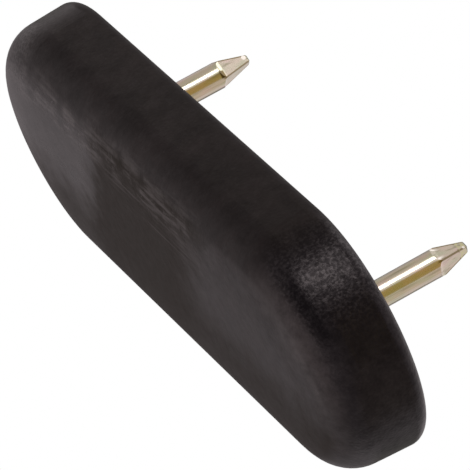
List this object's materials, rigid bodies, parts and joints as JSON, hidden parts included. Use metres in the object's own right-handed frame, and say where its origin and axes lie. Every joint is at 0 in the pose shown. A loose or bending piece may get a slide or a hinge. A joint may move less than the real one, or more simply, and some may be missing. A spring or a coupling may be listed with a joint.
{
  "type": "furniture glide",
  "caption": "Oblong black plastic glide with a rounded slide face and nails moulded into its back, for driving into the foot of a chair, sofa or cabinet.",
  "frame": {"origin": "middle of the glide face, which is the bottom of the part's box", "axes": "+X along the glide's length, +Z out of the seat along the nails, so that the glide face looks down at the floor"},
  "size_m": [0.0498, 0.0178, 0.0151],
  "materials": {
    "black_plastic": "fine spark-eroded grain, satin",
    "plated_steel": "drawn wire, zinc plated with pale yellow passivation"
  },
  "bodies": {
    "root": {"glide_body": "black_plastic", "nail_left": "plated_steel", "nail_right": "plated_steel"}
  },
  "joints": []
}
